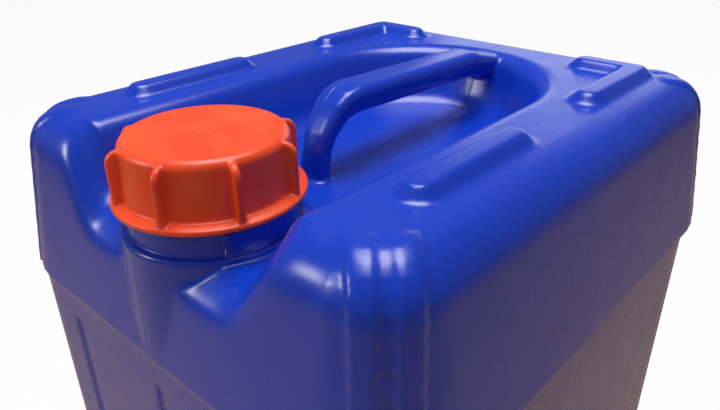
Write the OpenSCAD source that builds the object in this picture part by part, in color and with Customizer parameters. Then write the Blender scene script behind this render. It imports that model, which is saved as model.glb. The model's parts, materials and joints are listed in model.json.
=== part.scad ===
// Stackable plastic jerrycan of about 25 litres, with a grip moulded into its shoulder and a screw cap.
// Millimetres. +Z is up, the origin is the middle of the base, and the neck is towards -Y.

/* [Canister] */
// Width across the widest band, left to right
can_width = 250; // [240:1:270]
// Depth at the widest band, front to back
can_depth = 282; // [276:1:300]
// Height of the flat shoulder above the floor
shoulder_height = 432; // [330:1:470]
// Thickness of the blown wall
wall = 2.4; // [2:0.1:3]
// Radius of the upright corners at the widest band
corner_radius = 35; // [33:1:38]
// Radius where the sides roll over into the shoulder
shoulder_radius = 20; // [18:1:22]
// Radius round the foot
base_radius = 14; // [10:1:16]
// Height of the hollow under the base
base_arch = 4; // [2:0.5:6]

/* [Upper band] */
// Depth of the band below the shoulder
band_depth = 78; // [70:1:84]
// Lean of the band's faces
band_draft = 8.5; // [7:0.5:10]
// How far the lower body steps in below the band at the sides
side_step = 4.5; // [3:0.5:6]
// How far the lower body steps in below the band at the front and back
front_step = 0.6; // [0.4:0.1:1]

/* [Corner ribs and grooves] */
// How far the upright corner ribs stand out
rib_proud = 1.3; // [1:0.1:2]
// Width of each corner rib
rib_width = 8; // [6:0.5:9]
// Distance of each corner rib's middle from the corner's diagonal
rib_offset = 7; // [6:0.5:8]
// Spacing of the upright grooves in the front and back
groove_spacing = 68.6; // [60:0.2:75]
// Depth of the grooves
groove_depth = 1.4; // [1:0.1:1.6]
// Radius of the grooves' section
groove_radius = 4; // [3:0.5:5]
// How far below the shoulder the grooves begin
groove_top = 95; // [90:1:110]

/* [Grip recess] */
// Depth of the recess below the shoulder
recess_depth = 31; // [30:0.5:34]
// Half-width of the recess where its rim begins to roll over
recess_half_width = 70; // [67:0.5:71]
// Lean of the recess walls from upright
recess_lean = 24; // [20:1:26]
// Radius of the recess rim
recess_rim_radius = 11; // [9:0.5:13]
// Radius between the recess walls and floor
recess_floor_radius = 14; // [10:1:16]
// Where the round back of the recess is centred, behind the can's middle
recess_back = 30; // [26:1:34]
// Where the floor begins to fall towards the front, behind the can's front
pocket_setback = 17; // [16:1:20]
// Angle at which the floor falls away beside the neck
pocket_fall = 40; // [38:1:42]
// Depth of the falling pocket, square to its floor
pocket_depth = 22; // [21:0.5:23]
// Half-width of the pocket where its rim begins to roll over
pocket_half_width = 79; // [77:1:81]
// Lean of the pocket's walls
pocket_lean = 47; // [44:1:50]
// Radius of the pocket's rim
pocket_rim_radius = 24; // [20:1:26]

/* [Handle] */
// Width of the grip
grip_width = 20; // [18:0.5:22]
// Thickness of the grip
grip_thickness = 13.6; // [12:0.2:14]
// Radius of the grip's long edges
grip_edge = 4.5; // [3:0.5:5.5]
// Height of the grip's middle line above the shoulder at the front of the bar
grip_rise = 1.9; // [1.3:0.1:2.3]
// Fall of the bar towards the back
grip_fall = 1.9; // [1:0.1:2.5]
// Distance of the front leg's middle line ahead of the can's middle
grip_front = 48; // [47:0.5:49]

/* [Stacking ribs] */
// Width of a stacking rib at the shoulder
stack_width = 18; // [16:0.5:19]
// Width of a stacking rib's flat top
stack_top = 9; // [8:0.5:10]
// Height of the stacking ribs
stack_height = 5; // [4:0.5:6]
// Distance of the ribs' middle line from the can's middle
stack_offset = 84; // [82:0.5:85]

/* [Neck] */
// Distance of the neck's axis behind the can's front
neck_setback = 38; // [38:0.5:39]
// Depth of the ledge round the neck below the shoulder
ledge_depth = 28; // [26:0.5:29]
// Radius of the turret at its ledge
turret_radius = 36.5; // [36:0.1:37]
// Radius of the collar below the cap
collar_radius = 33.5; // [32:0.5:34]
// Radius of the neck inside the cap
neck_radius = 29; // [28:0.1:29.2]
// Radius of the mouth
mouth_radius = 25.5; // [24:0.5:26]

/* [Cap and seal] */
// Overall height of the cap
cap_height = 25.3; // [25:0.1:27]
// Radius of the flange round the cap's foot
flange_radius = 38.1; // [37:0.1:39]
// Thickness of the flange
flange_height = 3.4; // [2.5:0.1:4]
// Radius of the cap's side just above the flange
cap_foot_radius = 33.6; // [33.5:0.1:34]
// Radius of the cap's side at the top
cap_top_radius = 32.4; // [32:0.1:33]
// Radius of the cap's rounded top edge
cap_round = 4.5; // [3:0.5:5]
// Number of grip ribs round the cap
cap_ribs = 8; // [6:1:12]
// Thickness of the cap's top
cap_roof = 2.5; // [2:0.1:3]
// Radial clearance between the neck and the cap
thread_gap = 1.2; // [1:0.1:1.4]
// Thickness of the sealing disc
seal_thickness = 2; // [1.5:0.1:2.5]

/* [Hidden] */
$fn = 64;
ARC_STEPS = 6;
OVERLAP = 2;
band_bottom = shoulder_height - band_depth;
low_width = can_width - 2 * side_step;
low_depth = can_depth - 2 * front_step;
low_radius = corner_radius - 2;
base_floor = base_arch + wall;
// The shoulder arc touches both the leaning side and the level shoulder.
shoulder_side = corner_radius - band_depth * tan(band_draft);
shoulder_arc_x = shoulder_side + shoulder_radius * tan(band_draft) - shoulder_radius / cos(band_draft);
cap_stand = 8.3;
cap_bottom = shoulder_height + cap_stand - cap_height;
cap_bore = neck_radius + thread_gap;
cap_ceiling = cap_bottom + cap_height - cap_roof;
lip_height = cap_ceiling - seal_thickness;
collar_gap = 0.5;
neck_offset = can_depth / 2 - neck_setback;
turret_foot_radius = neck_setback;
turret_depth = 80;
pocket_floor_radius = 8;
// The pocket starts inside the recess, where its section is clear of the recess walls.
pocket_run_in = 36;
// Grip: where its bar starts behind the leg, the knee where it turns down to its root, and the root's fall.
bar_start = 25;
bar_knee = 70;
bar_back = 99;
root_fall = 15;
// Stacking ribs: the stretch beside the cap, the stretch behind it and the rib across the back.
front_stretch = [-80, -20.5];
rear_stretch = [46.5, 100];
cross_end = 58;
// Corner ribs: how far out along the diagonal they begin, and how high they stand there.
rib_start = 3;
rib_lift = 0.7;
// Collar lugs: where each begins, how far it turns and how far it stands out.
lug_turns = [-30, 150];
lug_sweep = 28;
lug_proud = 1.6;
// Grip ribs on the cap: the first one's angle, the radii at foot and top, and the lean.
rib_phase = 26;
rib_foot = 3.2;
rib_tip = 2.1;
rib_lean = 2.2;
arch_corner = 20;
arch_margin = 5 * base_radius;
neck_base = turret_depth + 20;
body_blue = [0.06, 0.16, 0.62];
cap_red = [0.93, 0.22, 0.1];
liner_grey = [0.85, 0.86, 0.88];

function arc(x, z, r, from, to, steps = ARC_STEPS) =
    [for (i = [0:steps]) let (a = from + (to - from) * i / steps) [x + r * cos(a), z + r * sin(a)]];

function shifted(points, dx) = [for (p = points) [p[0] + dx, p[1]]];

function mirrored(points, dx) =
    concat(shifted(points, dx), [for (i = [len(points) - 1:-1:0]) [-points[i][0] - dx, points[i][1]]]);

// Half outlines give the distance from the corner's own axis against height.
function band_outline(inset) = concat(
    [[corner_radius - 2 * side_step - inset, band_bottom - 2 * side_step + 0.4 * inset],
     [corner_radius - inset, band_bottom + 0.4 * inset]],
    arc(shoulder_arc_x, shoulder_height - shoulder_radius, shoulder_radius - inset, band_draft, 90));

function lower_outline(inset, floor_z) = concat(
    arc(low_radius - base_radius, floor_z + base_radius - inset, base_radius - inset, -90, 0),
    [[low_radius - inset, band_bottom + OVERLAP]]);

// Half section of a trough, measured from its rim: floor, leaning wall and rim. A grown one leaves the wall
// round it.
function trough_outline(half_width, depth, lean, rim, foot, grow) =
    let (arcs = rim + foot,
        foot_x = half_width - arcs * cos(lean) - (depth - arcs * (1 - sin(lean))) * tan(lean))
    concat(
        arc(foot_x, foot - depth, foot + grow, -90, -lean),
        arc(half_width, -rim, rim - grow, 180 - lean, 90),
        [[half_width + rim, depth]]);

// A rounded box whose four sides and four corners all carry the same half outline.
module swept(w, d, r, outline) {
    x = w / 2 - r;
    y = d / 2 - r;
    low = outline[0][1];
    high = outline[len(outline) - 1][1];
    translate([0, y, 0]) rotate([90, 0, 0]) linear_extrude(2 * y) polygon(mirrored(outline, x));
    translate([-x, 0, 0]) rotate([90, 0, 90]) linear_extrude(2 * x) polygon(mirrored(outline, y));
    for (corner = [[1, 1, 0], [-1, 1, 90], [-1, -1, 180], [1, -1, 270]])
        translate([corner[0] * x, corner[1] * y, 0])
            rotate([0, 0, corner[2]])
                rotate_extrude(angle = 90)
                    polygon(concat([[0, low]], outline, [[0, high]]));
}

module can_form(inset, floor_z, proud = 0) {
    swept(can_width, can_depth, corner_radius, shifted(band_outline(inset), proud));
    swept(low_width, low_depth, low_radius, shifted(lower_outline(inset, floor_z), proud));
}

// Two upright slabs beside each corner's diagonal, which cut the corner ribs out of a slightly larger form.
module corner_slabs() {
    bottom = 3 * base_radius;
    reach = 2 * corner_radius;
    for (sx = [-1, 1], sy = [-1, 1], side = [-1, 1])
        translate([sx * (can_width / 2 - corner_radius), sy * (can_depth / 2 - corner_radius), bottom])
            rotate([0, 0, atan2(sy, sx)])
                translate([rib_start, side * rib_offset - rib_width / 2, 0])
                    cube([reach, rib_width, shoulder_height + 2 * rib_lift - bottom]);
}

module corner_ribs() {
    intersection() {
        translate([0, 0, rib_lift]) can_form(0, 0, rib_proud);
        corner_slabs();
    }
}

// The bowl round the grip: a round back, a trough to the front, and a fall beside the neck.
module recess(grow = 0) {
    outline = trough_outline(recess_half_width, recess_depth, recess_lean, recess_rim_radius,
        recess_floor_radius, grow);
    fall = trough_outline(pocket_half_width, pocket_depth, pocket_lean, pocket_rim_radius,
        pocket_floor_radius, grow);
    top = outline[len(outline) - 1][1];
    translate([0, recess_back, shoulder_height]) {
        rotate_extrude(angle = 180)
            polygon(concat([[0, outline[0][1]]], outline, [[0, top]]));
        rotate([90, 0, 0]) linear_extrude(recess_back + can_depth / 2 + 10) polygon(mirrored(outline, 0));
    }
    translate([0, pocket_setback - can_depth / 2, shoulder_height - recess_depth])
        rotate([pocket_fall, 0, 0])
            translate([0, pocket_run_in + grow, pocket_depth])
                rotate([90, 0, 0])
                    linear_extrude(pocket_run_in + 60) polygon(mirrored(fall, 0));
}

module stacking_run(from, to) {
    slope = (stack_width - stack_top) / 2 / stack_height;
    foot = stack_width / 2 + OVERLAP * slope;
    rise = stack_height + OVERLAP;
    run = to - from;
    for (end = [from, to])
        translate([end[0], end[1], shoulder_height - OVERLAP])
            cylinder(r1 = foot, r2 = stack_top / 2, h = rise);
    translate([from[0], from[1], shoulder_height - OVERLAP])
        rotate([90, 0, atan2(run[1], run[0]) + 90])
            linear_extrude(norm(run))
                polygon([[-foot, 0], [foot, 0], [stack_top / 2, rise], [-stack_top / 2, rise]]);
}

module stacking_ribs() {
    for (side = [-1, 1]) {
        x = side * stack_offset;
        stacking_run([x, front_stretch[0]], [x, front_stretch[1]]);
        stacking_run([x, rear_stretch[0]], [x, rear_stretch[1]]);
        stacking_run([x, rear_stretch[1]], [side * cross_end, rear_stretch[1]]);
    }
}

// The turret under the ledge, the collar under the cap and the neck inside it, in one turn.
module neck_form() {
    ledge = shoulder_height - ledge_depth;
    round = 2.5;
    translate([0, -neck_offset, 0])
        rotate_extrude()
            polygon(concat(
                [[0, shoulder_height - neck_base],
                 [turret_foot_radius - 8, shoulder_height - neck_base],
                 [turret_foot_radius, shoulder_height - turret_depth]],
                arc(turret_radius - round, ledge - round, round, 0, 90, 4),
                [[collar_radius, ledge],
                 [collar_radius, cap_bottom - collar_gap],
                 [neck_radius, cap_bottom - collar_gap],
                 [neck_radius, lip_height - 1],
                 [neck_radius - 1, lip_height],
                 [0, lip_height]]));
}

// Two low blocks on the collar, where the cap's tamper band would catch.
module collar_lugs() {
    ledge = shoulder_height - ledge_depth;
    lug_top = cap_bottom - collar_gap - 1;
    for (turn = lug_turns)
        translate([0, -neck_offset, ledge - OVERLAP])
            rotate([0, 0, turn])
                rotate_extrude(angle = lug_sweep)
                    translate([neck_radius, 0])
                        square([collar_radius + lug_proud - neck_radius, lug_top - ledge + OVERLAP]);
}

module neck_hollow() {
    roof = shoulder_height - recess_depth - wall - 1;
    translate([0, -neck_offset, 0])
        rotate_extrude()
            polygon([
                [0, shoulder_height - neck_base + 4],
                [turret_foot_radius - wall - 8, shoulder_height - neck_base + 4],
                [turret_foot_radius - wall, shoulder_height - turret_depth],
                [turret_radius - wall, roof],
                [mouth_radius, roof + 8],
                [mouth_radius, lip_height + OVERLAP],
                [0, lip_height + OVERLAP]]);
}

// The grip's section is a rounded bar, and its stations give place along Y and Z and the heading there.
function grip_section() =
    let (x = grip_width / 2 - grip_edge, n = grip_thickness / 2 - grip_edge)
    concat(arc(x, n, grip_edge, 0, 90, 4), arc(-x, n, grip_edge, 90, 180, 4),
           arc(-x, -n, grip_edge, 180, 270, 4), arc(x, -n, grip_edge, 270, 360, 4));

// Each station: place from the leg and from the bar's height, heading, and shares of the width and thickness.
function grip_stations() =
    let (front = [[0, -41.9, 86, 0.76, 0.6], [1.4, -27.9, 83, 0.75, 0.6], [3.1, -19.4, 74, 0.75, 0.6],
            [5.6, -13.4, 60, 0.77, 0.64], [9.5, -8.1, 50, 0.82, 0.7], [13.8, -3.7, 41, 0.9, 0.8],
            [18.8, -0.9, 20, 0.97, 0.9], [bar_start, 0, 3, 1, 0.95]],
        knee_z = grip_rise - (bar_knee + grip_front - bar_start) * tan(grip_fall))
    concat(
        [for (s = front) [s[0] - grip_front, s[1] + grip_rise, s[2], s[3], s[4]]],
        [[bar_knee, knee_z, -(grip_fall + root_fall) / 2, 1, 1],
         [bar_back, knee_z - (bar_back - bar_knee) * tan(root_fall), -root_fall, 1, 1]]);

module grip() {
    section = grip_section();
    stations = grip_stations();
    n = len(section);
    m = len(stations);
    points = [for (s = stations, p = section)
        [p[0] * s[3], s[0] - p[1] * s[4] * sin(s[2]), shoulder_height + s[1] + p[1] * s[4] * cos(s[2])]];
    sides = [for (j = [0:m - 2], i = [0:n - 1])
        [j * n + i, j * n + (i + 1) % n, (j + 1) * n + (i + 1) % n, (j + 1) * n + i]];
    polyhedron(points, concat(
        sides,
        [[for (i = [n - 1:-1:0]) i]],
        [[for (i = [0:n - 1]) (m - 1) * n + i]]));
}

module groove(x, face) {
    low = 4 * base_radius;
    high = shoulder_height - groove_top;
    translate([x, face * (low_depth / 2 + groove_radius - groove_depth), 0]) {
        translate([0, 0, low]) cylinder(r = groove_radius, h = high - low);
        translate([0, 0, low]) sphere(groove_radius);
        translate([0, 0, high]) sphere(groove_radius);
    }
}

module rounded_plate(w, d, r, h) {
    linear_extrude(h) {
        square([w - 2 * r, d], center = true);
        square([w, d - 2 * r], center = true);
        for (sx = [-1, 1], sy = [-1, 1])
            translate([sx * (w / 2 - r), sy * (d / 2 - r)]) circle(r);
    }
}

module can_hollow() {
    difference() {
        union() can_form(wall, base_floor);
        recess(wall);
    }
    neck_hollow();
}

module canister() {
    color(body_blue)
        difference() {
            union() {
                difference() {
                    union() {
                        can_form(0, 0);
                        corner_ribs();
                    }
                    recess();
                }
                stacking_ribs();
                neck_form();
                collar_lugs();
                grip();
            }
            can_hollow();
            for (face = [-1, 1], x = [-groove_spacing, 0, groove_spacing])
                groove(x, face);
            translate([0, 0, -1])
                rounded_plate(low_width - arch_margin, low_depth - arch_margin, arch_corner, base_arch + 1);
        }
}

module cap_rib() {
    rise = cap_height - flange_height - cap_round;
    translate([cap_foot_radius - 0.4, 0, flange_height - 0.5])
        rotate([0, -atan2(rib_lean, rise), 0]) {
            cylinder(r1 = rib_foot, r2 = rib_tip, h = rise);
            translate([0, 0, rise]) sphere(rib_tip);
        }
}

module screw_cap() {
    color(cap_red)
        translate([0, -neck_offset, cap_bottom])
            difference() {
                union() {
                    rotate_extrude()
                        polygon(concat(
                            [[0, 0], [flange_radius - 0.8, 0]],
                            arc(flange_radius - 0.8, 0.8, 0.8, -90, 0, 2),
                            [[flange_radius, flange_height - 1.2],
                             [flange_radius - 1, flange_height],
                             [cap_foot_radius, flange_height + 0.6]],
                            arc(cap_top_radius - cap_round, cap_height - cap_round, cap_round, 0, 90),
                            [[0, cap_height]]));
                    for (i = [0:cap_ribs - 1])
                        rotate([0, 0, rib_phase + i * 360 / cap_ribs]) cap_rib();
                }
                translate([0, 0, -1]) cylinder(r = cap_bore, h = cap_height - cap_roof + 1);
            }
}

module sealing_disc() {
    color(liner_grey)
        translate([0, -neck_offset, lip_height])
            cylinder(r = neck_radius + thread_gap / 2, h = seal_thickness);
}

canister();
screw_cap();
sealing_disc();
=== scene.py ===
"""Dresses a stackable plastic jerrycan: the blown canister, its screw cap and the cap's sealing disc.

Metres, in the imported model's frame: +Z is up, the origin is the middle of the base, and the neck is
towards -Y. Sizes in the classes are millimetres, which is how the parts are drawn.
"""

import json
import logging
import math
from collections.abc import Callable, Iterator, Sequence
from contextlib import contextmanager
from dataclasses import dataclass
from enum import Enum

import bpy
from mathutils import Matrix, Vector

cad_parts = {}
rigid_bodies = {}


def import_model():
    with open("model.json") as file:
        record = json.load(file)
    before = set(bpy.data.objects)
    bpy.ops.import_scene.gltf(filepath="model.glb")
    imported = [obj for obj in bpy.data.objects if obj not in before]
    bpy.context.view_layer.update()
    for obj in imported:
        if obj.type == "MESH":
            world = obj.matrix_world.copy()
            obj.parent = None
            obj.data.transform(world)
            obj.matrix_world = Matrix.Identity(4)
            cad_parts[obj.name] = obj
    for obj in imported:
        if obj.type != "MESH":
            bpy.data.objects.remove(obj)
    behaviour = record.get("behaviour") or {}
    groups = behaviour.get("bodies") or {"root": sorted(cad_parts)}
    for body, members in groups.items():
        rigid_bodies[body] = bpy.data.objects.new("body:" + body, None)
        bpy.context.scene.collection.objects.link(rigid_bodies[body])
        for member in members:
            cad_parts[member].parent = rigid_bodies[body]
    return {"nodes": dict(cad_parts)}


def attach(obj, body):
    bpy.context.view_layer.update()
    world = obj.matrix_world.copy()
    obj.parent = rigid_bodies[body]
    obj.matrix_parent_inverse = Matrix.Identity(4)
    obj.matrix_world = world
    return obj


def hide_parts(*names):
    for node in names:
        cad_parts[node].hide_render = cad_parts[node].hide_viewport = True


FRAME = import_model()
MM = 0.001
NECK_Y = -103.0
LIP = 435.8
LOG = logging.getLogger("jerrycan")

Colour = tuple[float, float, float]
Step = tuple[float, float]


class Body(Enum):
    """The rigid bodies that pieces ride on."""

    CAN = "can"
    SEAL = "seal"
    CAP = "cap"


class Slot(Enum):
    """The record's material slots."""

    CANISTER = "canister_plastic"
    CAP = "cap_plastic"
    LINER = "liner_foam"


# Shader tools


class Link:
    """A shader socket or a plain number that can be written in expressions.

    Args:
        shader: the material that gets the Math nodes.
        value: an output socket, or a number.
    """

    def __init__(self, shader: "Shader", value: object) -> None:
        self.shader = shader
        self.value = value

    def _math(self, operation: str, *others: object) -> "Link":
        """Adds one Math node that takes this value first."""
        return self.shader.math(operation, self, *others)

    def __add__(self, other: object) -> "Link":
        """Sum."""
        return self._math("ADD", other)

    __radd__ = __add__

    def __sub__(self, other: object) -> "Link":
        """Difference."""
        return self._math("SUBTRACT", other)

    def __rsub__(self, other: object) -> "Link":
        """Difference from a plain number."""
        return self.shader.math("SUBTRACT", other, self)

    def __mul__(self, other: object) -> "Link":
        """Product."""
        return self._math("MULTIPLY", other)

    __rmul__ = __mul__

    def __lt__(self, other: object) -> "Link":
        """One where this value is below the other."""
        return self._math("LESS_THAN", other)

    def __gt__(self, other: object) -> "Link":
        """One where this value is above the other."""
        return self._math("GREATER_THAN", other)

    def size(self) -> "Link":
        """The value without its sign."""
        return self._math("ABSOLUTE")

    def between(self, low: float, high: float) -> "Link":
        """A smooth ramp from 0 at low to 1 at high."""
        return self.shader.node(
            "ShaderNodeMapRange",
            {"interpolation_type": "SMOOTHSTEP"},
            {"Value": self, "From Min": low, "From Max": high},
        )


class Shader:
    """A node material built in code.

    Args:
        name: the material's name.
        tree: another node tree to fill instead of a new material's, such as a world's.
        output: the type of the tree's output node.
    """

    def __init__(
        self,
        name: str = "",
        tree: bpy.types.NodeTree | None = None,
        output: str = "ShaderNodeOutputMaterial",
    ) -> None:
        self.material = None
        if tree is None:
            self.material = bpy.data.materials.new(name)
            self.material.use_nodes = True
            tree = self.material.node_tree
        self.tree = tree
        self.tree.nodes.clear()
        self.output = self.tree.nodes.new(output)

    def node(
        self,
        kind: str,
        settings: dict[str, object] | None = None,
        inputs: dict[object, object] | None = None,
        output: object = 0,
    ) -> Link:
        """Adds any node.

        Args:
            kind: the node's type.
            settings: its own settings, set before its sockets.
            inputs: values or links by socket name or number.
            output: name or number of the output socket to hand back.

        Returns:
            The chosen output as a link.
        """
        made = self.tree.nodes.new(kind)
        for key, value in (settings or {}).items():
            setattr(made, key, value)
        for key, value in (inputs or {}).items():
            value = value.value if isinstance(value, Link) else value
            if isinstance(value, bpy.types.NodeSocket):
                self.tree.links.new(value, made.inputs[key])
            else:
                made.inputs[key].default_value = value
        return Link(self, made.outputs[output])

    def math(self, operation: str, *values: object) -> Link:
        """Adds one Math node.

        Args:
            operation: the node's operation.
            values: its inputs in order, as links or numbers.
        """
        return self.node("ShaderNodeMath", {"operation": operation}, dict(enumerate(values)))

    def place(self) -> Link:
        """Object coordinates."""
        return self.node("ShaderNodeTexCoord", output="Object")

    def axes(self, coords: Link) -> tuple[Link, Link, Link]:
        """The three parts of a vector."""
        split = self.node("ShaderNodeSeparateXYZ", inputs={0: coords})
        return tuple(Link(self, s) for s in split.value.node.outputs)

    def noise(self, coords: Link, scale: float, detail: float = 2.0, rough: float = 0.5) -> Link:
        """Plain noise from 0 to 1 about 0.5."""
        return self.node(
            "ShaderNodeTexNoise",
            inputs={"Vector": coords, "Scale": scale, "Detail": detail, "Roughness": rough},
        )

    def cells(self, coords: Link, scale: float) -> Link:
        """Distance to the nearest of many scattered points, in cells."""
        return self.node(
            "ShaderNodeTexVoronoi", inputs={"Vector": coords, "Scale": scale}, output="Distance"
        )

    def blend(self, share: object, first: object, second: object) -> Link:
        """Mixes two colours: first at 0 and second at 1."""
        first, second = (
            (*c, 1.0) if isinstance(c, tuple) and len(c) == 3 else c for c in (first, second)
        )
        return self.node(
            "ShaderNodeMix",
            {"data_type": "RGBA"},
            {0: share, 6: first, 7: second},
            output=2,
        )

    def bump(self, height: Link, strength: float, depth: float, below: Link | None = None) -> Link:
        """A Bump node whose relief is depth metres for a height of 1."""
        inputs: dict[object, object] = {
            "Height": height,
            "Strength": strength,
            "Distance": depth,
        }
        if below is not None:
            inputs["Normal"] = below
        return self.node("ShaderNodeBump", inputs=inputs)

    def close(self, surface: Link) -> None:
        """Joins a shader to the tree's output."""
        self.tree.links.new(surface.value, self.output.inputs["Surface"])

    def finish(self, sockets: dict[object, object]) -> bpy.types.Material:
        """Adds the Principled shader, joins it to the output and returns the material."""
        self.close(self.node("ShaderNodeBsdfPrincipled", inputs=sockets))
        return self.material


# Finishes


@dataclass(frozen=True)
class BlownPlastic:
    """Semi-gloss blue blow-moulded polyethylene with a fine grain, a parting line and a few scuffs."""

    colour: Colour = (0.004, 0.044, 0.52)
    deep: Colour = (0.004, 0.038, 0.48)
    dust: Colour = (0.55, 0.60, 0.80)
    roughness: float = 0.27
    grain: float = 1500.0
    swell: float = 22.0
    speck_scale: float = 70.0
    speck_size: float = 0.022
    seam_x: float = -2.6

    def make(self) -> bpy.types.Material:
        """Builds the material."""
        s = Shader("canister_plastic")
        here = s.place()
        x, _, _ = s.axes(here)
        tone = s.noise(here, 9.0, 3.0)
        specks = (s.cells(here, self.speck_scale) < self.speck_size) * (
            s.noise(here, 31.0, 1.0).between(0.6, 0.7)
        )
        colour = s.blend(tone.between(0.35, 0.65), self.deep, self.colour)
        colour = s.blend(specks * 0.7, colour, self.dust)
        wear = s.noise(here, 60.0, 4.0, 0.6)
        roughness = self.roughness + (wear - 0.5) * 0.12
        line = 1.0 - (x - self.seam_x * MM).size().between(0.0002, 0.0007)
        swell = s.bump(s.noise(here, self.swell, 1.0), 0.2, 0.0010)
        seam = s.bump(line, 0.8, 0.00025, swell)
        grain = s.bump(s.noise(here, self.grain, 2.0, 0.6), 0.12, 0.00010, seam)
        return s.finish(
            {
                "Base Color": colour,
                "Roughness": roughness,
                "IOR": 1.52,
                "Normal": grain,
            }
        )


@dataclass(frozen=True)
class CapPlastic:
    """Satin red-orange injection-moulded plastic with faint flow marks."""

    colour: Colour = (0.90, 0.062, 0.012)
    light: Colour = (0.97, 0.100, 0.024)
    mark: Colour = (0.30, 0.012, 0.006)
    marks: tuple[Step, ...] = ((3.4, -107.8), (5.0, -102.3), (-1.8, -106.0), (0.1, -100.9))
    roughness: float = 0.36

    def make(self) -> bpy.types.Material:
        """Builds the material."""
        s = Shader("cap_plastic")
        here = s.place()
        tone = s.noise(here, 40.0, 3.0)
        colour = s.blend(tone.between(0.35, 0.7), self.colour, self.light)
        x, y, z = s.axes(here)
        for spot_x, spot_y in self.marks:
            far = (x - spot_x * MM) * (x - spot_x * MM) + (y - spot_y * MM) * (y - spot_y * MM)
            spot = (1.0 - far.between(4e-8, 4.5e-7)) * (z > 0.439)
            colour = s.blend(spot * 0.75, colour, self.mark)
        wear = s.noise(here, 160.0, 3.0, 0.6)
        flow = s.bump(s.noise(here, 120.0, 2.0), 0.25, 0.0003)
        grain = s.bump(s.noise(here, 2600.0, 2.0), 0.18, 0.00008, flow)
        return s.finish(
            {
                "Base Color": colour,
                "Roughness": self.roughness + (wear - 0.5) * 0.14,
                "IOR": 1.5,
                "Subsurface Weight": 0.08,
                "Subsurface Scale": 0.003,
                "Normal": grain,
            }
        )


@dataclass(frozen=True)
class LinerFoam:
    """Matt closed-cell foam with fine pits."""

    colour: Colour = (0.70, 0.71, 0.74)
    shade: Colour = (0.58, 0.59, 0.63)

    def make(self) -> bpy.types.Material:
        """Builds the material."""
        s = Shader("liner_foam")
        here = s.place()
        pits = s.cells(here, 1400.0).between(0.0, 0.45)
        return s.finish(
            {
                "Base Color": s.blend(pits, self.shade, self.colour),
                "Roughness": 0.8,
                "Normal": s.bump(pits, 0.5, 0.00015),
            }
        )


# Modelling aids


def select_only(*pieces: bpy.types.Object) -> None:
    """Deselects everything, then selects the pieces and makes the last one active."""
    bpy.ops.object.select_all(action="DESELECT")
    for piece in pieces:
        piece.select_set(True)
        bpy.context.view_layer.objects.active = piece


@contextmanager
def editing(piece: bpy.types.Object, mode: str = "FACE") -> Iterator[None]:
    """Edit mode on one piece, with the selection that its mesh carries.

    Args:
        piece: the piece to edit.
        mode: VERT, EDGE or FACE.
    """
    select_only(piece)
    modes = tuple(kind == mode for kind in ("VERT", "EDGE", "FACE"))
    bpy.context.scene.tool_settings.mesh_select_mode = modes
    bpy.ops.object.mode_set(mode="EDIT")
    try:
        yield
    finally:
        bpy.ops.object.mode_set(mode="OBJECT")


def pick_none(mesh: bpy.types.Mesh) -> None:
    """Clears the mesh's selection."""
    for parts in (mesh.vertices, mesh.edges, mesh.polygons):
        parts.foreach_set("select", [False] * len(parts))


def pick_faces(piece: bpy.types.Object, test: Callable[[Vector, Vector], bool]) -> int:
    """Selects the faces whose centre and normal pass a test.

    Returns:
        How many faces passed.
    """
    mesh = piece.data
    pick_none(mesh)
    chosen = [bool(test(f.center, f.normal)) for f in mesh.polygons]
    mesh.polygons.foreach_set("select", chosen)
    return sum(chosen)


def pick_edges(piece: bpy.types.Object, test: Callable[[Vector, Vector], bool]) -> int:
    """Selects the edges whose two ends pass a test.

    Returns:
        How many edges passed.
    """
    mesh = piece.data
    pick_none(mesh)
    spots = [v.co for v in mesh.vertices]
    chosen = [bool(test(spots[e.vertices[0]], spots[e.vertices[1]])) for e in mesh.edges]
    mesh.edges.foreach_set("select", chosen)
    return sum(chosen)


def modify(piece: bpy.types.Object, kind: str, **settings: object) -> None:
    """Adds a modifier and applies it.

    Args:
        piece: the piece that gets it.
        kind: the modifier's type.
        settings: its settings by name.
    """
    modifier = piece.modifiers.new(kind.lower(), kind)
    for key, value in settings.items():
        setattr(modifier, key, value)
    select_only(piece)
    bpy.ops.object.modifier_apply(modifier=modifier.name)


def combine(piece: bpy.types.Object, tool: bpy.types.Object, operation: str) -> None:
    """Unites the piece with the tool, or cuts it with the tool, and deletes the tool.

    Args:
        piece: the piece that stays.
        tool: a closed piece.
        operation: UNION, DIFFERENCE or INTERSECT.
    """
    modify(piece, "BOOLEAN", operation=operation, object=tool, solver="MANIFOLD")
    bpy.data.objects.remove(tool, do_unlink=True)


def settle(piece: bpy.types.Object) -> None:
    """Leaves the piece's object at the origin with its place in its mesh."""
    select_only(piece)
    bpy.ops.object.transform_apply(location=True, rotation=True, scale=True)


def face_outwards(piece: bpy.types.Object) -> None:
    """Merges doubles and turns all faces outwards."""
    with editing(piece):
        bpy.ops.mesh.select_all(action="SELECT")
        bpy.ops.mesh.remove_doubles(threshold=1e-6)
        bpy.ops.mesh.normals_make_consistent(inside=False)


def shade(piece: bpy.types.Object, degrees: float) -> None:
    """Smooth shading with sharp edges past an angle."""
    select_only(piece)
    bpy.ops.object.shade_smooth_by_angle(angle=math.radians(degrees))


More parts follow.
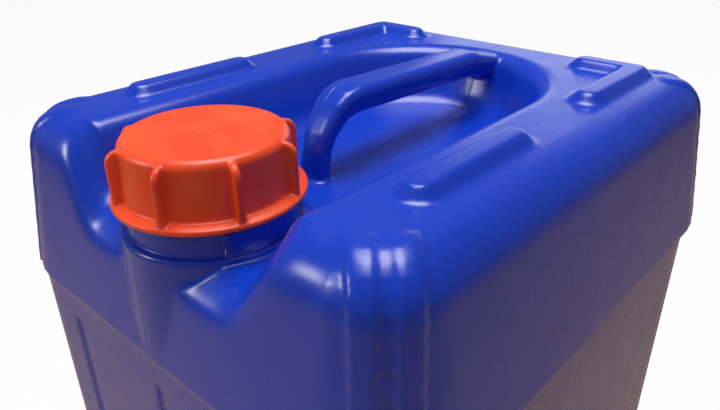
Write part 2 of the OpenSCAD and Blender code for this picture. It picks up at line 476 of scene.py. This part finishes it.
def turned(name: str, axis: Vector, profile: Sequence[Step], segments: int = 128) -> bpy.types.Object:
    """Turns a closed piece round an upright axis: a ring is extruded and resized from step to step.

    Args:
        name: the piece's name.
        axis: the foot of the axis, in metres.
        profile: (radius, height above the foot) in millimetres. Both ends close over the axis.
        segments: corners of each ring.

    Returns:
        The piece, its faces outwards.
    """
    bpy.ops.object.select_all(action="DESELECT")
    radius, height = profile[0]
    spot = axis + Vector((0, 0, height * MM))
    bpy.ops.mesh.primitive_circle_add(
        vertices=segments, radius=radius * MM, fill_type="TRIFAN", location=spot
    )
    piece = bpy.context.object
    piece.name = name
    settle(piece)
    with editing(piece, "VERT"):
        bpy.ops.mesh.select_all(action="DESELECT")
        bpy.ops.mesh.select_non_manifold()
        for next_radius, next_height in profile[1:]:
            bpy.ops.mesh.extrude_edges_move(
                TRANSFORM_OT_translate={"value": (0, 0, (next_height - height) * MM)}
            )
            ratio = next_radius / radius
            spot = axis + Vector((0, 0, next_height * MM))
            bpy.ops.transform.resize(value=(ratio, ratio, 1), center_override=spot)
            radius, height = next_radius, next_height
        bpy.ops.mesh.edge_face_add()
        bpy.ops.mesh.poke()
    face_outwards(piece)
    return piece


def arc_steps(middle: Step, radius: float, start: float, end: float, steps: int) -> list[Step]:
    """Points of an arc in a turned profile, with its angles in degrees from outwards to up."""
    turns = [math.radians(start + (end - start) * i / steps) for i in range(steps + 1)]
    return [(middle[0] + radius * math.cos(t), middle[1] + radius * math.sin(t)) for t in turns]


def dress(
    piece: bpy.types.Object, material: bpy.types.Material, body: Body, slot: Slot, *nodes: str
) -> None:
    """Gives a finished piece its material and its body, and hides the CAD nodes that it stands for.

    Args:
        piece: the piece, its object at the origin.
        material: its only material.
        body: the body that it rides on.
        slot: the record's slot for the material; not used.
        nodes: names of the CAD nodes that it replaces.
    """
    piece.data.materials.clear()
    piece.data.materials.append(material)
    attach(piece, body.value)
    if nodes:
        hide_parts(*nodes)
    LOG.info("%s: %d faces on %s", piece.name, len(piece.data.polygons), body.value)


# The pieces


@dataclass
class Thread:
    """A screw thread's ridge, modelled once as a section and wound up the neck's axis."""

    pitch: float = 6.0
    root: float = 1.25
    crest: float = 0.5
    sides: int = 96

    def wind(
        self, name: str, axis: Vector, radius: float, proud: float, low: float, turns: float, start: float
    ) -> bpy.types.Object:
        """Winds one ridge.

        Args:
            name: the ridge's name.
            axis: the foot of the axis, in metres.
            radius: radius of the wall it stands on, in millimetres.
            proud: how far it stands off that wall: outwards, or inwards where negative.
            low: height of its first section above the foot, in millimetres.
            turns: how many turns it makes.
            start: angle of its first section, in degrees.

        Returns:
            The ridge as a closed piece.
        """
        sunk = -0.6 if proud > 0 else 0.6
        section = [(sunk, -self.root), (proud, -self.crest), (proud, self.crest), (sunk, self.root)]
        bpy.ops.object.select_all(action="DESELECT")
        bpy.ops.mesh.primitive_plane_add(size=1)
        ridge = bpy.context.object
        ridge.name = name
        order = (0, 1, 3, 2)
        for corner, (out, up) in zip(order, section):
            ridge.data.vertices[corner].co = Vector(((radius + out) * MM, 0, up * MM))
        steps = round(self.sides * turns)
        modify(
            ridge,
            "SCREW",
            axis="Z",
            angle=2 * math.pi * turns,
            screw_offset=self.pitch * turns * MM,
            steps=steps,
            render_steps=steps,
        )
        with editing(ridge, "EDGE"):
            bpy.ops.mesh.select_all(action="DESELECT")
            bpy.ops.mesh.select_non_manifold()
            bpy.ops.mesh.edge_face_add()
        ridge.rotation_euler = (0, 0, math.radians(start))
        ridge.location = axis + Vector((0, 0, low * MM))
        settle(ridge)
        face_outwards(ridge)
        return ridge


@dataclass
class Canister:
    """The blown canister: soft blends over the CAD's forms, a crisp neck finish, and the hollow inside."""

    voxel: float = 1.0
    smoothing: int = 12
    faces: int = 170000
    neck_y: float = NECK_Y
    ledge: float = 404.0
    collar_radius: float = 33.5
    collar_top: float = 414.5
    neck_radius: float = 29.0
    mouth_radius: float = 25.5
    lip: float = LIP
    lug_proud: float = 1.6
    lug_width: float = 16.6
    lug_turn: float = -16.0
    run_out_y: float = -116.0
    run_out_low: float = 375.0
    run_out_half: float = 88.0
    run_out_reach: float = 38.5
    run_out_smoothing: int = 90
    ledge_radius: float = 36.5

    def axis(self) -> Vector:
        """The foot of the neck's axis on the floor."""
        return Vector((0, self.neck_y * MM, 0))

    def copy_of_node(self) -> bpy.types.Object:
        """Copies the CAD canister's mesh and merges it."""
        piece = bpy.data.objects.new("canister_shell", FRAME["nodes"]["canister"].data.copy())
        bpy.context.collection.objects.link(piece)
        with editing(piece):
            bpy.ops.mesh.select_all(action="SELECT")
            bpy.ops.mesh.remove_doubles(threshold=1e-6)
        return piece

    def on_mouth(self, first: Vector, second: Vector) -> bool:
        """Whether an edge lies on the mouth's rim, where the outside meets the hollow."""
        return all(
            abs(p.z - self.lip * MM) < 2e-4
            and abs(math.hypot(p.x, p.y - self.neck_y * MM) - self.mouth_radius * MM) < 1e-3
            for p in (first, second)
        )

    def split_hollow(self, piece: bpy.types.Object) -> bpy.types.Object:
        """Separates the faces of the hollow, and closes both halves.

        Returns:
            The hollow as a closed cutter that stands out of the mouth.
        """
        pick_edges(piece, self.on_mouth)
        with editing(piece, "EDGE"):
            bpy.ops.mesh.mark_seam()
        low = min(
            (f for f in piece.data.polygons if f.normal.z > 0.9 and abs(f.center.z) < 0.02),
            key=lambda f: f.center.to_2d().length,
        )
        pick_none(piece.data)
        low.select = True
        with editing(piece):
            bpy.ops.mesh.select_linked(delimit={"SEAM"})
            bpy.ops.mesh.separate(type="SELECTED")
        hollow = next(o for o in bpy.context.selected_objects if o is not piece)
        with editing(hollow, "EDGE"):
            bpy.ops.mesh.select_all(action="DESELECT")
            bpy.ops.mesh.select_non_manifold()
            bpy.ops.mesh.extrude_edges_move(TRANSFORM_OT_translate={"value": (0, 0, 0.004)})
            bpy.ops.mesh.edge_face_add()
        face_outwards(hollow)
        with editing(piece, "EDGE"):
            bpy.ops.mesh.select_all(action="DESELECT")
            bpy.ops.mesh.select_non_manifold()
            bpy.ops.mesh.edge_face_add()
        return hollow

    def cut_collar(self, piece: bpy.types.Object) -> None:
        """Takes the CAD's collar and neck off above the ledge."""
        reach = self.collar_radius + self.lug_proud + 0.4
        tool = turned("collar_cut", self.axis(), [(reach, self.ledge + 0.03), (reach, self.lip + 5)])
        combine(piece, tool, "DIFFERENCE")

    def on_run_out(self, centre: Vector, normal: Vector) -> bool:
        """Whether a face lies where the pockets beside the neck run out over the can's front."""
        reach = math.hypot(centre.x, centre.y - self.neck_y * MM)
        in_front = centre.y < self.run_out_y * MM and centre.z > self.run_out_low * MM
        return in_front and abs(centre.x) < self.run_out_half * MM and reach > self.run_out_reach * MM

    def soften(self, piece: bpy.types.Object) -> None:
        """Gives the shell the soft blends of a blown part, softest where the pockets run out."""
        modify(piece, "REMESH", mode="VOXEL", voxel_size=self.voxel * MM, use_smooth_shade=True)
        modify(piece, "SMOOTH", factor=0.5, iterations=self.smoothing)
        pick_faces(piece, self.on_run_out)
        with editing(piece):
            bpy.ops.mesh.vertices_smooth(factor=0.5, repeat=self.run_out_smoothing)
        share = self.faces / (2 * len(piece.data.polygons))
        if share < 1:
            modify(piece, "DECIMATE", ratio=share)

    def neck_finish(self) -> bpy.types.Object:
        """Turns the ledge, the collar and the neck, with rounded edges, up to the lip."""
        c, n, z = self.collar_radius, self.neck_radius, self.ledge
        profile = [
            (self.ledge_radius - 0.6, z - 10.0),
            (self.ledge_radius + 0.1, z - 5.0),
            *arc_steps((self.ledge_radius - 1.7, z - 1.8), 1.8, 0, 90, 5),
            *arc_steps((c + 0.8, z + 0.8), 0.8, 270, 180, 4),
            *arc_steps((c - 0.8, self.collar_top - 0.8), 0.8, 0, 90, 4),
            *arc_steps((n + 0.8, self.collar_top + 0.8), 0.8, 270, 180, 3),
            *arc_steps((n - 1.0, self.lip - 1.0), 1.0, 0, 90, 5),
        ]
        return turned("neck_finish", self.axis(), profile)

    def collar_lugs(self) -> bpy.types.Object:
        """Shapes the two low blocks on the collar: a bar through the axis, cut to a drum."""
        r, top = self.collar_radius + self.lug_proud, self.collar_top - 1.0
        low = self.ledge - 2.0
        bpy.ops.object.select_all(action="DESELECT")
        bpy.ops.mesh.primitive_cube_add(size=1)
        lugs = bpy.context.object
        lugs.name = "collar_lugs"
        lugs.scale = (90 * MM, self.lug_width * MM, (top - low) * MM)
        lugs.rotation_euler = (0, 0, math.radians(self.lug_turn))
        lugs.location = self.axis() + Vector((0, 0, (low + top) / 2 * MM))
        settle(lugs)
        pick_edges(lugs, lambda a, b: abs(a.z - b.z) > 0.001)
        with editing(lugs, "EDGE"):
            bpy.ops.mesh.bevel(offset=0.9 * MM, segments=3)
        drum = turned(
            "lug_drum", self.axis(), [(r, low - 1), *arc_steps((r - 0.7, top - 0.7), 0.7, 0, 90, 4)]
        )
        combine(lugs, drum, "INTERSECT")
        return lugs

    def build(self, material: bpy.types.Material) -> bpy.types.Object:
        """Builds and dresses the canister."""
        shell = self.copy_of_node()
        hollow = self.split_hollow(shell)
        self.cut_collar(shell)
        self.soften(shell)
        combine(shell, self.neck_finish(), "UNION")
        combine(shell, self.collar_lugs(), "UNION")
        thread = Thread().wind(
            "neck_thread", self.axis(), self.neck_radius, 0.85, self.collar_top + 4.5, 2.25, 200
        )
        combine(shell, thread, "UNION")
        combine(shell, hollow, "DIFFERENCE")
        shade(shell, 35)
        dress(shell, material, Body.CAN, Slot.CANISTER, "canister")
        return shell


@dataclass
class ScrewCap:
    """The screw cap: a rounded drum on a flange, with slender grip ribs and its own thread inside."""

    neck_y: float = NECK_Y
    bottom: float = 415.0
    height: float = 25.3
    bore: float = 30.2
    ceiling: float = 22.8
    flange_radius: float = 38.1
    flange_height: float = 3.4
    foot_radius: float = 33.6
    top_radius: float = 32.4
    top_round: float = 3.8
    ribs: int = 8
    rib_phase: float = 26.0
    rib_proud: float = 3.6
    rib_width: float = 3.4
    rib_taper: float = 0.86
    rib_drop: float = 1.4
    rib_sunk: float = 5.0
    rib_head: float = 5.2
    rib_edge: float = 1.25
    voxel: float = 0.45
    smoothing: int = 5

    def axis(self) -> Vector:
        """The foot of the cap's axis, at its lowest face."""
        return Vector((0, self.neck_y * MM, self.bottom * MM))

    def drum(self) -> bpy.types.Object:
        """Turns the cap's outside as a solid."""
        f, h = self.flange_radius, self.flange_height
        profile = [
            (f - 1.0, 0.0),
            *arc_steps((f - 0.7, 0.7), 0.7, 270, 360, 3),
            *arc_steps((f - 0.9, h - 2.0), 0.9, 0, 72, 4),
            *arc_steps((self.foot_radius + 1.2, h + 0.9), 1.2, 288, 180, 5),
            *arc_steps(
                (self.top_radius - self.top_round, self.height - self.top_round), self.top_round, 3, 90, 10
            ),
        ]
        return turned("screw_cap_shell", self.axis(), profile, 160)

    def rib(self) -> bpy.types.Object:
        """Shapes one grip rib at the cap's +X side: a slender fin with a rounded head and edges."""
        low, high = self.flange_height - 1.5, self.height - self.rib_drop
        inner, outer = self.top_radius - self.rib_sunk, self.foot_radius + self.rib_proud
        bpy.ops.object.select_all(action="DESELECT")
        bpy.ops.mesh.primitive_cube_add(size=1)
        rib = bpy.context.object
        rib.scale = ((outer - inner) * MM, self.rib_width * MM, (high - low) * MM)
        rib.location = (
            (inner + outer) / 2 * MM,
            self.neck_y * MM,
            (self.bottom + (low + high) / 2) * MM,
        )
        settle(rib)
        top = max(v.co.z for v in rib.data.vertices)
        edge = max(v.co.x for v in rib.data.vertices)
        pick_faces(rib, lambda c, n: n.z > 0.9)
        with editing(rib):
            bpy.ops.transform.resize(value=(1, self.rib_taper, 1))
        pick_edges(rib, lambda a, b: min(a.z, b.z) > top - 1e-5 and min(a.x, b.x) > edge - 1e-5)
        with editing(rib, "EDGE"):
            bpy.ops.mesh.bevel(offset=self.rib_head * MM, segments=8)
        pick_edges(
            rib,
            lambda a, b: abs(a.y - b.y) < 0.0005 and min(a.x, b.x) > (inner + 1) * MM
            and max(a.z, b.z) > (self.bottom + self.flange_height) * MM,
        )
        with editing(rib, "EDGE"):
            bpy.ops.mesh.bevel(offset=self.rib_edge * MM, segments=4)
        return rib

    def spread_ribs(self, first: bpy.types.Object) -> bpy.types.Object:
        """Copies the first rib round the cap, each copy with its own mesh, and joins them."""
        axis = self.axis()
        made = []
        for i in range(self.ribs):
            rib = first.copy()
            rib.data = first.data.copy()
            bpy.context.collection.objects.link(rib)
            turn = Matrix.Rotation(math.radians(self.rib_phase + 360 * i / self.ribs), 4, "Z")
            rib.data.transform(Matrix.Translation(axis) @ turn @ Matrix.Translation(-axis))
            made.append(rib)
        bpy.data.objects.remove(first, do_unlink=True)
        select_only(*made)
        bpy.ops.object.join()
        return bpy.context.object

    def bore_tool(self) -> bpy.types.Object:
        """Turns the hollow under the cap, with a fillet under its roof."""
        profile = [
            (self.bore + 0.6, -1.0),
            (self.bore + 0.6, 0.0),
            (self.bore, 0.8),
            *arc_steps((self.bore - 1.5, self.ceiling - 1.5), 1.5, 0, 90, 4),
        ]
        return turned("cap_bore", self.axis(), profile, 160)

    def build(self, material: bpy.types.Material) -> bpy.types.Object:
        """Builds and dresses the cap."""
        cap = self.drum()
        combine(cap, self.spread_ribs(self.rib()), "UNION")
        modify(cap, "REMESH", mode="VOXEL", voxel_size=self.voxel * MM, use_smooth_shade=True)
        modify(cap, "SMOOTH", factor=0.5, iterations=self.smoothing)
        combine(cap, self.bore_tool(), "DIFFERENCE")
        thread = Thread().wind("cap_thread", self.axis(), self.bore, -0.85, 4.0, 2.0, 20)
        combine(cap, thread, "UNION")
        cap.name = "screw_cap_shell"
        shade(cap, 40)
        dress(cap, material, Body.CAP, Slot.CAP, "screw_cap")
        return cap


@dataclass
class SealingDisc:
    """The foam liner in the cap's roof, pressed in where the lip bears on it."""

    neck_y: float = NECK_Y
    low: float = LIP
    thickness: float = 2.0
    radius: float = 29.6

    def build(self, material: bpy.types.Material) -> bpy.types.Object:
        """Builds and dresses the disc."""
        r, t = self.radius, self.thickness
        axis = Vector((0, self.neck_y * MM, self.low * MM))
        profile = [
            (5.0, 0.25),
            (24.4, 0.25),
            (25.2, 0.0),
            (28.2, 0.0),
            (28.8, 0.2),
            (r - 0.2, 0.25),
            (r, 0.5),
            (r, t - 0.2),
            (r - 0.2, t),
            (5.0, t),
        ]
        disc = turned("sealing_liner", axis, profile, 96)
        shade(disc, 35)
        dress(disc, material, Body.SEAL, Slot.LINER, "sealing_disc")
        return disc


# The studio


@dataclass
class Studio:
    """Floor, world, lamps and the camera at the photograph's viewing angle."""

    eye: Colour = (0.198, -0.2326, 0.5258)
    yaw: float = 42.5
    pitch: float = 27.3
    roll: float = -0.7
    lens: float = 32.245
    floor_colour: Colour = (0.62, 0.42, 0.24)
    floor_glow: float = 0.93
    room: Colour = (0.17, 0.175, 0.19)

    def add_camera(self) -> None:
        """Adds the camera, solved from the photograph."""
        yaw, pitch, roll = (math.radians(a) for a in (self.yaw, self.pitch, self.roll))
        ahead = Vector(
            (-math.sin(yaw) * math.cos(pitch), math.cos(yaw) * math.cos(pitch), -math.sin(pitch))
        )
        level = Vector((math.cos(yaw), math.sin(yaw), 0))
        upright = level.cross(ahead)
        right = level * math.cos(roll) + upright * math.sin(roll)
        up = upright * math.cos(roll) - level * math.sin(roll)
        data = bpy.data.cameras.new("camera")
        data.lens = self.lens
        data.sensor_width = 36
        data.clip_start = 0.01
        camera = bpy.data.objects.new("camera", data)
        turn = Matrix((right, up, -ahead)).transposed().to_4x4()
        camera.matrix_world = Matrix.Translation(self.eye) @ turn
        bpy.context.collection.objects.link(camera)
        bpy.context.scene.camera = camera

    def add_lamp(
        self, name: str, place: Colour, target: Colour, size: Step, watts: float, colour: Colour
    ) -> None:
        """Adds one soft area lamp.

        Args:
            name: the lamp's name.
            place: its middle, in metres.
            target: the spot that it looks at.
            size: its width and height, in metres.
            watts: its power.
            colour: its light's colour.
        """
        data = bpy.data.lights.new(name, "AREA")
        data.shape = "RECTANGLE"
        data.size, data.size_y = size
        data.energy = watts
        data.color = colour
        lamp = bpy.data.objects.new(name, data)
        lamp.location = place
        look = Vector(target) - Vector(place)
        lamp.rotation_euler = look.to_track_quat("-Z", "Y").to_euler()
        bpy.context.collection.objects.link(lamp)

    def add_world(self) -> None:
        """A plain dim room that the camera sees as white."""
        world = bpy.data.worlds.new("studio")
        bpy.context.scene.world = world
        world.use_nodes = True
        room = Shader(tree=world.node_tree, output="ShaderNodeOutputWorld")
        soft = room.node("ShaderNodeBackground", inputs={"Color": (*self.room, 1.0)})
        white = room.node("ShaderNodeBackground", inputs={"Color": (1.0, 1.0, 1.0, 1.0)})
        seen = room.node("ShaderNodeLightPath", output="Is Camera Ray")
        room.close(room.node("ShaderNodeMixShader", inputs={0: seen, 1: soft, 2: white}))

    def add_floor(self) -> None:
        """A wide floor that the camera sees nearly white and the part sees as pale wood."""
        bpy.ops.object.select_all(action="DESELECT")
        bpy.ops.mesh.primitive_plane_add(size=12)
        floor = bpy.context.object
        floor.name = "floor"
        s = Shader("floor")
        seen = s.node("ShaderNodeLightPath", output="Is Camera Ray")
        colour = s.blend(seen, self.floor_colour, (0.95, 0.95, 0.95))
        matt = s.node("ShaderNodeBsdfDiffuse", inputs={"Color": colour})
        white = s.node("ShaderNodeEmission", inputs={"Strength": 1.0})
        s.close(s.node("ShaderNodeMixShader", inputs={0: seen * self.floor_glow, 1: matt, 2: white}))
        floor.data.materials.append(s.material)

    def build(self) -> None:
        """Builds the whole set."""
        scene = bpy.context.scene
        scene.view_settings.view_transform = "Standard"
        self.add_camera()
        self.add_world()
        self.add_floor()
        white = (1.0, 0.98, 0.95)
        self.add_lamp("overhead", (-0.1, 0.1, 2.2), (0, 0, 0.4), (1.1, 1.1), 38, white)
        self.add_lamp("window", (-0.86, -1.24, 1.06), (0, 0, 0.42), (0.22, 0.42), 6.5, white)
        self.add_lamp("rear", (-0.62, 1.9, 0.85), (0, 0, 0.43), (1.2, 0.6), 3, (0.9, 0.95, 1.0))


def main() -> None:
    """Builds the studio and the pieces."""
    logging.basicConfig(level=logging.INFO, format="%(message)s")
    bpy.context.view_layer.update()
    Studio().build()
    Canister().build(BlownPlastic().make())
    ScrewCap().build(CapPlastic().make())
    SealingDisc().build(LinerFoam().make())


if __name__ == "__main__":
    main()
